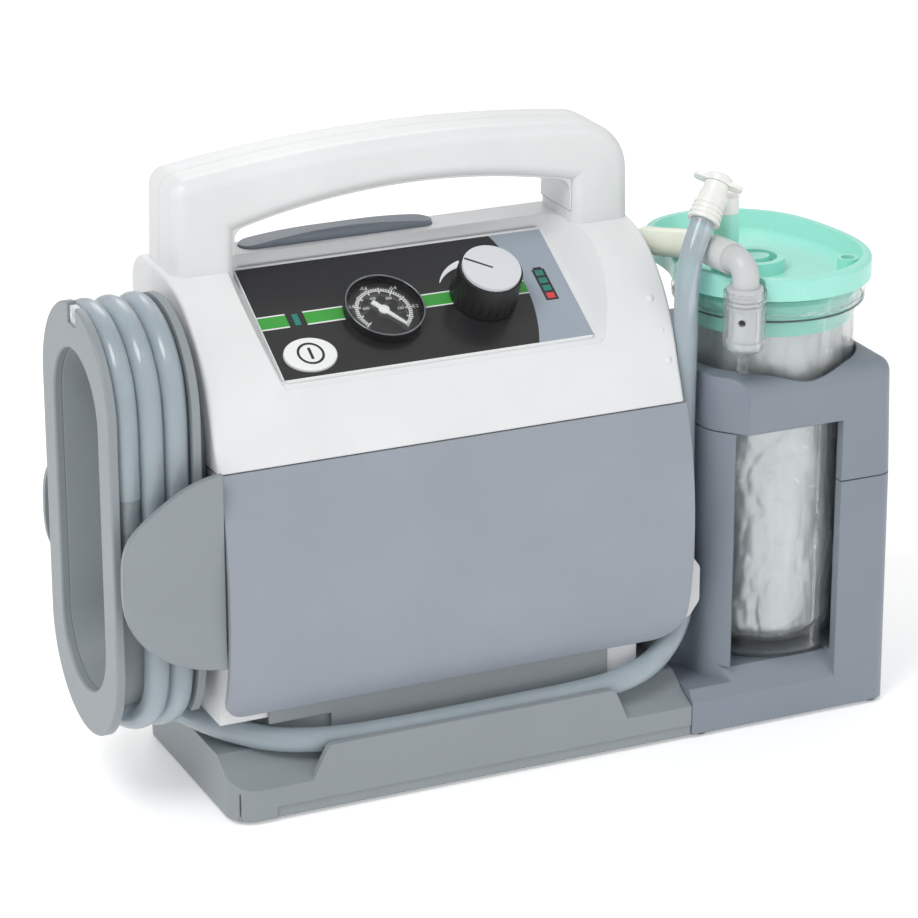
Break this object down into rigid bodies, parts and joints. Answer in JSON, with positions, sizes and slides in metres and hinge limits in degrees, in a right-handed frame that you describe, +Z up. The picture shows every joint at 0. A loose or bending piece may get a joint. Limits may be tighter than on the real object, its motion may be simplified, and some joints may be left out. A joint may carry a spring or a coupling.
{
  "type": "portable suction pump",
  "caption": "Portable medical suction pump: case with handle and control panel, hose wound on a side reel, and a lined clear canister in a holder.",
  "frame": {"origin": "on the floor under the middle of the unit's outline", "axes": "+X from the hose reel towards the canister, +Y from the control panel's side to the back, +Z up"},
  "size_m": [0.408, 0.1356, 0.3072],
  "materials": {
    "white_shell": "fine-textured moulded plastic",
    "grey_cover": "fine-textured moulded plastic",
    "grey_base": "fine-textured moulded plastic",
    "dark_key": "satin moulded plastic",
    "panel": "printed film",
    "black_plastic": "moulded plastic",
    "light_plastic": "smooth moulded plastic",
    "led": "light pipe",
    "red_led": "light pipe",
    "clear": "clear moulded plastic",
    "liner": "thin crinkled film",
    "lid_green": "soft moulded plastic",
    "soft": "soft rubber",
    "hose": "translucent soft hose",
    "steel": "plated steel",
    "metal_body": "cast and turned aluminium"
  },
  "bodies": {
    "case": {"base_plate": "grey_base", "bottom_plate": "grey_base", "rubber_feet": "soft", "base_screws": "steel", "front_cover": "grey_cover", "lower_chassis": "white_shell", "lower_skirt": "grey_cover", "rear_cover": "grey_cover", "housing_screws": "steel", "dc_inlet": "black_plastic", "upper_shell_front": "white_shell", "upper_shell_rear": "white_shell", "handle_grip": "white_shell", "control_panel": "panel", "status_led": "led", "battery_leds": "led", "low_battery_led": "red_led", "circuit_board": "black_plastic", "gauge_case": "black_plastic", "gauge_dial": "black_plastic", "gauge_lens": "clear", "regulator_valve": "black_plastic", "reel_core": "white_shell", "reel_disc": "grey_base", "reel_clip": "black_plastic", "reel_flange": "grey_base", "reel_screws": "steel", "hose_guard_front": "grey_base", "hose_guard_rear": "grey_base", "suction_hose_run": "hose", "suction_hose_coil": "hose", "hose_end_connector": "light_plastic", "hose_tab": "light_plastic", "battery_pack": "black_plastic", "pump_motor": "metal_body", "pump_head": "metal_body", "inner_vacuum_tube": "hose", "vacuum_port": "light_plastic", "exhaust_filter": "soft", "holder_collar": "grey_cover", "holder_base": "grey_cover", "canister": "clear", "liner_bag": "liner", "lid": "lid_green", "lid_seal": "soft", "patient_connector": "light_plastic", "check_valve": "light_plastic", "vacuum_elbow": "light_plastic", "vacuum_hose": "hose", "release_springs": "steel"},
    "needle": {"gauge_needle": "light_plastic"},
    "knob": {"knob": "black_plastic", "knob_cap": "light_plastic", "knob_shaft": "steel"},
    "power_key": {"power_button": "light_plastic"},
    "release_key": {"release_button": "dark_key", "latch_bar": "steel"},
    "cap": {"port_cap": "light_plastic"},
    "rotor": {"motor_shaft": "steel"}
  },
  "joints": [
    {"name": "knob_turn", "type": "hinge", "parent": "case", "child": "knob", "pos_m": [0.001, -0.00756, 0.2286], "axis": [0, -0.5, 0.866], "range_deg": [-270, 0]},
    {"name": "needle_turn", "type": "hinge", "parent": "case", "child": "needle", "pos_m": [-0.0515, -0.00842, 0.2281], "axis": [0, -0.5, 0.866], "range_deg": [0, 270], "stiffness_Nm_per_rad": 0.0005},
    {"name": "power_press", "type": "slide", "parent": "case", "child": "power_key", "axis": [0, 0.5, -0.866], "range_m": [0, 0.001], "stiffness_N_per_m": 1500},
    {"name": "release_press", "type": "slide", "parent": "case", "child": "release_key", "axis": [0, 0, -1], "range_m": [0, 0.004], "stiffness_N_per_m": 1200, "deforming": ["release_springs"]},
    {"name": "cap_pull", "type": "slide", "parent": "case", "child": "cap", "axis": [0.55, 0.333, 0.7659], "range_m": [0, 0.008]},
    {"name": "rotor_spin", "type": "hinge", "parent": "case", "child": "rotor", "pos_m": [0, 0.012, 0.08], "axis": [1, 0, 0], "continuous": true}
  ]
}
